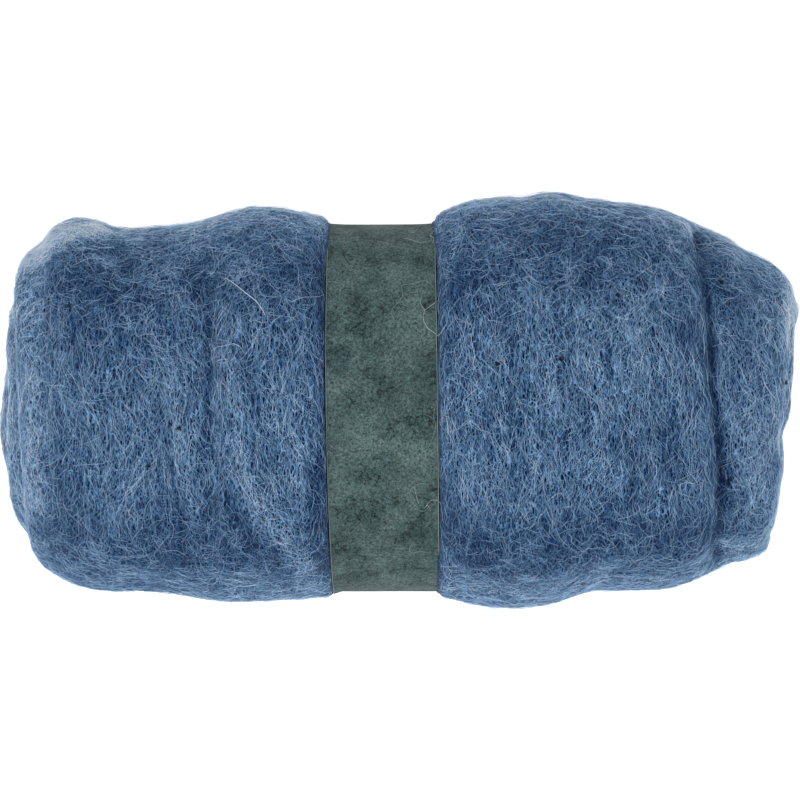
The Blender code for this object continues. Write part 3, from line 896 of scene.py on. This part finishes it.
def tubes(name, lines, normals, radius, tones, materials):
    """One mesh of thin three-sided fibres, each closed to a point at both ends."""
    count, steps, _ = lines.shape
    forward = unit(np.gradient(lines, axis=1))
    side = unit(np.cross(forward, normals))
    up = np.cross(side, forward)
    share = np.linspace(0.0, 1.0, steps)
    taper = np.sin(math.pi * np.clip(share, 0.06, 0.94)) ** 0.35
    size = radius[:, None] * taper[None, :]
    rings = []
    for turn in (90.0, 210.0, 330.0):
        a = math.radians(turn)
        rings.append(lines + size[:, :, None] * (math.cos(a) * side + math.sin(a) * up))
    rings = np.stack(rings, axis=2)[:, 1:-1].reshape(count, -1, 3)
    points = np.concatenate([lines[:, :1], rings, lines[:, -1:]], axis=1)
    per_fibre = points.shape[1]

    faces = []
    last = per_fibre - 1
    for j in range(3):
        k = (j + 1) % 3
        faces.append((0, 1 + k, 1 + j))
        faces.append((last, last - 3 + j, last - 3 + k))
    for ring in range(steps - 3):
        base = 1 + 3 * ring
        for j in range(3):
            k = (j + 1) % 3
            faces.append((base + j, base + k, base + 3 + k))
            faces.append((base + j, base + 3 + k, base + 3 + j))
    faces = np.array(faces)
    all_faces = (faces[None] + per_fibre * np.arange(count)[:, None, None]).reshape(-1, 3)

    mesh = bpy.data.meshes.new(name)
    mesh.vertices.add(count * per_fibre)
    mesh.vertices.foreach_set("co", points.reshape(-1))
    mesh.loops.add(len(all_faces) * 3)
    mesh.loops.foreach_set("vertex_index", all_faces.reshape(-1).astype(np.int32))
    mesh.polygons.add(len(all_faces))
    mesh.polygons.foreach_set("loop_start", np.arange(0, len(all_faces) * 3, 3, dtype=np.int32))
    for material in materials:
        mesh.materials.append(material)
    mesh.polygons.foreach_set("material_index", np.repeat(tones, len(faces)).astype(np.int32))
    mesh.update(calc_edges=True)
    mesh.validate()
    mesh.shade_smooth()
    return link_piece(name, mesh)


def fibre_coats(wool, surface, materials):
    """Every coat of fibres on the wool."""
    made = []
    for coat in COATS:
        starts = start_points(wool.data, coat)
        length = rng.uniform(coat.length[0], coat.length[1], coat.locks) * MM
        points, normals = grow(surface, starts, length, coat.curl)
        lines, ups = members_of(points, normals, coat)
        count = len(lines)
        middle = coat.points // 2
        # Each fibre takes the wool's tone at its middle, painted shade and painted light included.
        tone_and_painted_light_here = wool_tone_and_painted_light(lines[:, middle], ups[:, middle])
        chance = np.minimum(rng.normal(coat.tone, TONE_SPREAD, count), TONE_CAP)
        tones = np.rint(chance + TONE_SHARE * tone_and_painted_light_here)
        tones = np.clip(tones, 0, len(FIBRE_TONES) - 1)
        radius = coat.radius * MM * rng.uniform(*FIBRE_GIRTHS, count)
        made.append(tubes(coat.name, lines, ups, radius, tones, materials))
    return made


# ----------------------------------------------------------- the paper band

BAND_STEPS = 180
BAND_COLUMNS = 14           # of the paper's width, between its cut edges
CUT_EDGE = 0.2 * MM         # width of the scuffed line along each edge
LAP_GAP = 0.1 * MM          # between the two layers of the lap
LAP_EASE = 0.03             # share of the turn over which the strip climbs onto itself
PAPER_WAVE = 0.16 * MM      # how far it stands in soft waves
WELL_OUTSIDE = 200.0 * MM   # from the axis to where rays to the wool start


def band_columns():
    """Places across the paper: a narrow scuffed line at each edge, even ones between."""
    inner = np.linspace(BAND_LEFT + CUT_EDGE, BAND_RIGHT - CUT_EDGE, BAND_COLUMNS + 1)
    return [BAND_LEFT, *inner, BAND_RIGHT]


class Blot(NamedTuple):
    """A patch of the paper, darker or paler than the rest."""
    width: float      # mm, half its width
    tone: float
    path: tuple       # mm, places along it as they show in the view plane


BLOTS = [
    Blot(2.6, -0.35, ((6, 17), (11, 14))),
    Blot(4.0, -0.3, ((-6, 2), (2, 3), (11, 1))),
    Blot(2.0, -0.3, ((-8, 8), (-5, 4))),
    Blot(5.0, -0.12, ((-20, 48), (-12, 30))),
    Blot(4.0, 0.15, ((-22, 33), (-18, 20))),
    Blot(5.0, 0.15, ((0, 42), (5, 28))),
    Blot(6.0, 0.15, ((-10, -12), (4, -18))),
    Blot(3.0, -0.2, ((-2, -24), (8, -28))),
    Blot(0.5, -0.3, ((-23, -41), (-6, -41), (-1, -42))),
    Blot(0.5, -0.25, ((-24, -52), (-10, -53), (2, -52))),
    Blot(5.0, -0.25, ((-20, -47), (10, -49))),
]


def band_strip():
    """The strip of paper, wound once round the waist and lapped on itself."""
    waist = surface_of(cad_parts["wool_roll"].data)
    centre = Vector((0.0, BAND_CENTRE_Y, AXIS_Z))
    turn = 2.0 * math.pi + (LAP_END - LAP_START)
    lap_begins = 1.0 - (LAP_END - LAP_START) / turn
    columns = band_columns()
    across = len(columns)
    inner = []
    outer = []
    for i in range(BAND_STEPS + 1):
        share = i / BAND_STEPS
        angle = LAP_START + turn * share
        outwards = Vector((0.0, math.cos(angle), math.sin(angle)))
        climbed = float(ease(share, lap_begins - LAP_EASE, lap_begins))
        lapped = climbed * (PAPER_THICK + LAP_GAP)
        for x in columns:
            far = centre + outwards * WELL_OUTSIDE
            far.x = x
            hit, _, _, _ = waist.ray_cast(far, -outwards)
            wave = PAPER_WAVE * noise.noise(Vector((x / 0.02, hit.y / 0.025, hit.z / 0.025)))
            leftward = (BAND_RIGHT - x) / (BAND_RIGHT - BAND_LEFT)
            flare = BAND_FLARE * abs(2.0 * leftward - 1.0) ** 6 * at_side(max(hit.y, 0.0))
            place = hit + outwards * (BAND_SEAT + wave + lapped + flare)
            place.x = x + BAND_LEAN * place.y + leftward * drawn_in(place.y)
            inner.append(place)
            outer.append(place + outwards * PAPER_THICK)
    size = len(inner)
    faces = []
    scuffed = []
    for i in range(BAND_STEPS):
        for j in range(across - 1):
            a = i * across + j
            b = a + 1
            c = b + across
            d = a + across
            faces.append((a, b, c, d))
            faces.append((size + d, size + c, size + b, size + a))
            scuffed += [j in (0, across - 2)] * 2
        a = i * across
        b = a + across - 1
        c = b + across
        d = a + across
        faces.append((a, d, size + d, size + a))
        faces.append((c, b, size + b, size + c))
        scuffed += [True, True]
    for j in range(across - 1):
        a = j
        c = BAND_STEPS * across + j
        faces.append((a + 1, a, size + a, size + a + 1))
        faces.append((c, c + 1, size + c + 1, size + c))
        scuffed += [True, True]
    mesh = mesh_from("paper_strip", inner + outer, faces)
    mesh.set_sharp_from_angle(angle=math.radians(50.0))
    mesh.materials.append(uncoated_paper())
    mesh.materials.append(paper_cut_edge())
    mesh.polygons.foreach_set("material_index", np.array(scuffed, dtype=np.int32))
    points, _ = vertex_arrays(mesh)
    shown = shown_at(points)
    upper = ease(points[:, 2], 30.0 * MM, 55.0 * MM)
    tone = np.zeros(len(points))
    for blot in BLOTS:
        distance, _ = near_path(blot.path, shown)
        tone += blot.tone * upper * np.exp(-(distance / (blot.width * MM)) ** 2)
    set_tone(mesh, tone)
    middle = [outer[i * across + across // 2] for i in range(BAND_STEPS + 1)]
    length = sum((end - start).length for start, end in zip(middle[:-1], middle[1:]))
    return link_piece("paper_strip", mesh), length


# ---------------------------------------------------------- strays and neps

class Stray(NamedTuple):
    """A single fibre laid by itself over the roll or its band."""
    radius: float     # mm
    lift: float       # mm over what it lies on
    tone: int         # place in STRAY_TONES
    path: tuple       # mm, places along it as they show in the view plane


STRAY_TONES = ["#160C16", "#8E9F9F", "#BCC8C6", "#E4F0F2"]
STRAY_POINTS = 40

STRAYS = [
    # A long pale fibre left of the band.
    Stray(0.13, 1.3, 3, ((-61.1, 42.6), (-57.0, 39.5), (-52.5, 36.0), (-49.5, 33.0), (-47.4, 29.6))),
    # Fuzz at the far corner of the paper.
    Stray(0.07, 0.5, 1, ((2.6, 60.0), (4.0, 58.5), (5.9, 59.4), (6.6, 61.0))),
    Stray(0.08, 0.5, 1, ((1.2, 56.6), (3.1, 56.3), (5.9, 55.3), (7.5, 55.0), (9.4, 55.6))),
    Stray(0.08, 0.6, 1, ((10.3, 60.6), (11.5, 58.5), (10.9, 56.6), (12.2, 54.7))),
    Stray(0.07, 0.6, 2, ((12.4, 59.5), (10.6, 57.6), (12.3, 56.2), (11.0, 54.5))),
    Stray(0.07, 0.5, 1, ((8.8, 61.6), (10.0, 59.4), (11.9, 60.4), (13.4, 58.6))),
    # Loose ones caught on the paper.
    Stray(0.08, 0.8, 1, ((13.6, 35.8), (12.5, 38.4), (9.0, 41.5), (4.4, 40.5), (0.7, 39.8),
                         (0.9, 36.3), (-1.2, 33.4), (-3.0, 31.0), (-1.8, 27.8), (0.7, 26.8))),
    Stray(0.11, 0.8, 2, ((7.6, 36.3), (7.2, 33.8), (8.6, 31.3), (8.1, 28.9), (9.3, 25.7),
                         (11.8, 23.6), (13.9, 22.5), (16.0, 25.3), (17.0, 28.2))),
    Stray(0.08, 0.8, 2, ((13.2, 34.9), (12.1, 33.8), (8.6, 31.3))),
    Stray(0.06, 0.4, 1, ((-26.4, 41.8), (-20.8, 40.8), (-19.6, 39.3))),
    Stray(0.08, 0.6, 1, ((9.0, -3.1), (9.0, -5.0), (10.9, -5.9))),
    Stray(0.09, 0.8, 1, ((13.6, 1.5), (11.8, -4.9), (12.5, -9.9), (10.4, -15.8), (8.8, -19.2),
                         (10.7, -22.0), (12.9, -22.0))),
    Stray(0.07, 0.6, 1, ((9.4, -24.6), (10.0, -26.5), (10.9, -29.4))),
    Stray(0.09, 0.6, 1, ((12.5, -23.2), (10.4, -25.7), (11.3, -29.2), (7.2, -29.2), (4.0, -31.0),
                         (3.7, -34.1), (5.8, -37.3), (8.1, -39.1), (10.4, -37.3), (10.7, -40.5))),
    Stray(0.08, 0.6, 2, ((5.0, -30.3), (5.9, -34.1), (6.8, -36.6))),
    Stray(0.08, 0.8, 2, ((8.7, -37.8), (10.6, -35.3), (12.8, -35.0), (15.0, -36.4))),
    Stray(0.07, 0.6, 2, ((8.1, -38.5), (9.7, -36.9), (10.9, -39.1))),
    Stray(0.08, 0.5, 1, ((10.7, -53.9), (7.2, -53.0), (4.4, -53.5), (3.3, -52.4), (4.4, -50.7),
                         (8.3, -51.0))),
    # Short dark hairs pressed into the paper.
    Stray(0.10, 0.08, 0, ((-19.9, 52.8), (-19.2, 49.6), (-17.4, 47.2))),
    Stray(0.09, 0.08, 0, ((-1.2, 33.4), (1.6, 33.0), (3.7, 31.7))),
    Stray(0.08, 0.08, 0, ((-20.6, 19.4), (-19.4, 17.6))),
]

# Neps: little knots of dark coarse hair left in the wool, (x, y) mm in the view plane.
NEPS = [(-116.0, 32.7), (-80.6, -8.8), (-77.6, -10.2), (-88.9, -22.9), (76.2, 36.3),
        (34.7, 12.7), (56.5, 14.1), (112.8, 40.8), (135.0, 6.0), (115.3, -28.2)]
NEP_HAIRS = 9
NEP_POINTS = 12         # along a hair
NEP_RADIUS = 0.13 * MM


def through(places, count):
    """Points along a smooth curve through places."""
    places = np.array(places)
    at = np.linspace(0.0, len(places) - 1.0, count)
    low = np.minimum(at.astype(int), len(places) - 2)
    part = (at - low)[:, None]
    before = places[np.maximum(low - 1, 0)]
    start = places[low]
    end = places[low + 1]
    after = places[np.minimum(low + 2, len(places) - 1)]
    leave = 0.5 * (end - before)
    arrive = 0.5 * (after - start)
    return (start + leave * part + (3.0 * (end - start) - 2.0 * leave - arrive) * part ** 2
            + (2.0 * (start - end) + leave + arrive) * part ** 3)


def stray_fibres(surface, materials):
    """The single fibres that lie across the wool and the paper."""
    lines = []
    ups = []
    for stray in STRAYS:
        route = through([(x, y, 0.0) for x, y in stray.path], STRAY_POINTS)
        found = [place_under(surface, x, y) for x, y, _ in route]
        line = np.array([hit for hit, _ in found])
        up = unit(np.array([normal for _, normal in found]))
        height = stray.lift * np.sin(math.pi * np.linspace(0.03, 0.97, STRAY_POINTS)) ** 0.4
        lines.append(line + up * height[:, None] * MM)
        ups.append(up)
    radius = np.array([stray.radius * MM for stray in STRAYS])
    tones = np.array([stray.tone for stray in STRAYS])
    return tubes("stray_fibres", np.array(lines), np.array(ups), radius, tones, materials)


def neps(surface, material):
    """Small tangles of short dark hairs on the wool."""
    lines = []
    ups = []
    for x, y in NEPS:
        place, normal = place_under(surface, x, y)
        up = np.array(normal)
        side = unit(np.cross(up, rng.normal(0.0, 1.0, (NEP_HAIRS, 3))))
        other = np.cross(side, up)
        for hair in range(NEP_HAIRS):
            turn = np.linspace(0.0, rng.uniform(2.0, 4.5), NEP_POINTS) + rng.uniform(0.0, 6.3)
            bow = rng.uniform(0.4, 0.8)
            off = rng.normal(0.0, 0.25, 2)
            flat = side[hair] * (bow * np.cos(turn) + off[0])[:, None]
            flat = flat + other[hair] * (0.6 * bow * np.sin(turn) + off[1])[:, None]
            height = 0.95 + 0.3 * np.sin(1.3 * turn)
            lines.append(np.array(place) + (flat + up * height[:, None]) * MM)
            ups.append(np.tile(up, (NEP_POINTS, 1)))
    radius = np.full(len(lines), NEP_RADIUS)
    tones = np.zeros(len(lines))
    return tubes("neps", np.array(lines), np.array(ups), radius, tones, [material])


# ---------------------------------------------------- floor, light, camera

def studio():
    """A pale plain floor, one wide soft light overhead and the camera."""
    # A light table: its own glow keeps the ground round the roll even and pale.
    floor_material, _, _ = new_material("pale light table", {
        "Base Color": linear("#F2F2F2"), "Roughness": 0.9, "Specular IOR Level": 0.1,
        "Emission Color": (1.0, 1.0, 1.0, 1.0), "Emission Strength": 0.7})
    half = 4.0
    floor_mesh = mesh_from("floor", [(-half, -half, 0.0), (half, -half, 0.0),
                                     (half, half, 0.0), (-half, half, 0.0)], [(0, 1, 2, 3)])
    floor_mesh.materials.append(floor_material)
    floor = link_piece("floor", floor_mesh)
    floor.location.z = -0.2 * MM

    lamp = bpy.data.lights.new("overhead softbox", "AREA")
    lamp.shape = "RECTANGLE"
    lamp.size = 1.6
    lamp.size_y = 1.2
    lamp.energy = 46.0
    softbox = bpy.data.objects.new("overhead softbox", lamp)
    softbox.location = (-0.1, -0.35, 2.1)
    softbox.rotation_euler = (-Vector(softbox.location)).to_track_quat("-Z", "Y").to_euler()
    bpy.context.scene.collection.objects.link(softbox)

    world = bpy.data.worlds.new("studio walls")
    world.use_nodes = True
    world.node_tree.nodes["Background"].inputs["Color"].default_value = (1.0, 1.0, 1.0, 1.0)
    world.node_tree.nodes["Background"].inputs["Strength"].default_value = 0.36
    bpy.context.scene.world = world

    lens = bpy.data.cameras.new("camera")
    lens.sensor_width = 36.0
    lens.lens = 36.0 * VIEW_DISTANCE / VIEW_WIDTH
    camera = bpy.data.objects.new("camera", lens)
    camera.location = CAMERA_PLACE
    bpy.context.scene.collection.objects.link(camera)
    bpy.context.scene.camera = camera
    bpy.context.scene.view_settings.view_transform = "Standard"


# ------------------------------------------------------------- put together

studio()
wool = wound_wool()
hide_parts("wool_roll")
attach(wool, "root")

band, band_length = band_strip()
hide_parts("paper_band")
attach(band, "root")

wool_surface = surface_of(wool.data)
# One material for each of FIBRE_TONES; the darker and paler ones also carry painted shade and painted
# light.
fibre_materials = [wool_fibre(f"dyed wool fibre {i + 1}", tone) for i, tone in enumerate(FIBRE_TONES)]
stray_materials = [wool_fibre(name, tone) for name, tone in zip(
    ("dark coarse hair", "grey stray fibre", "pale stray fibre", "white stray fibre"), STRAY_TONES)]
loose = fibre_coats(wool, wool_surface, fibre_materials)
loose.append(neps(wool_surface, stray_materials[0]))
loose.append(stray_fibres(surface_of(wool.data, band.data), stray_materials))
for piece in loose:
    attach(piece, "root")
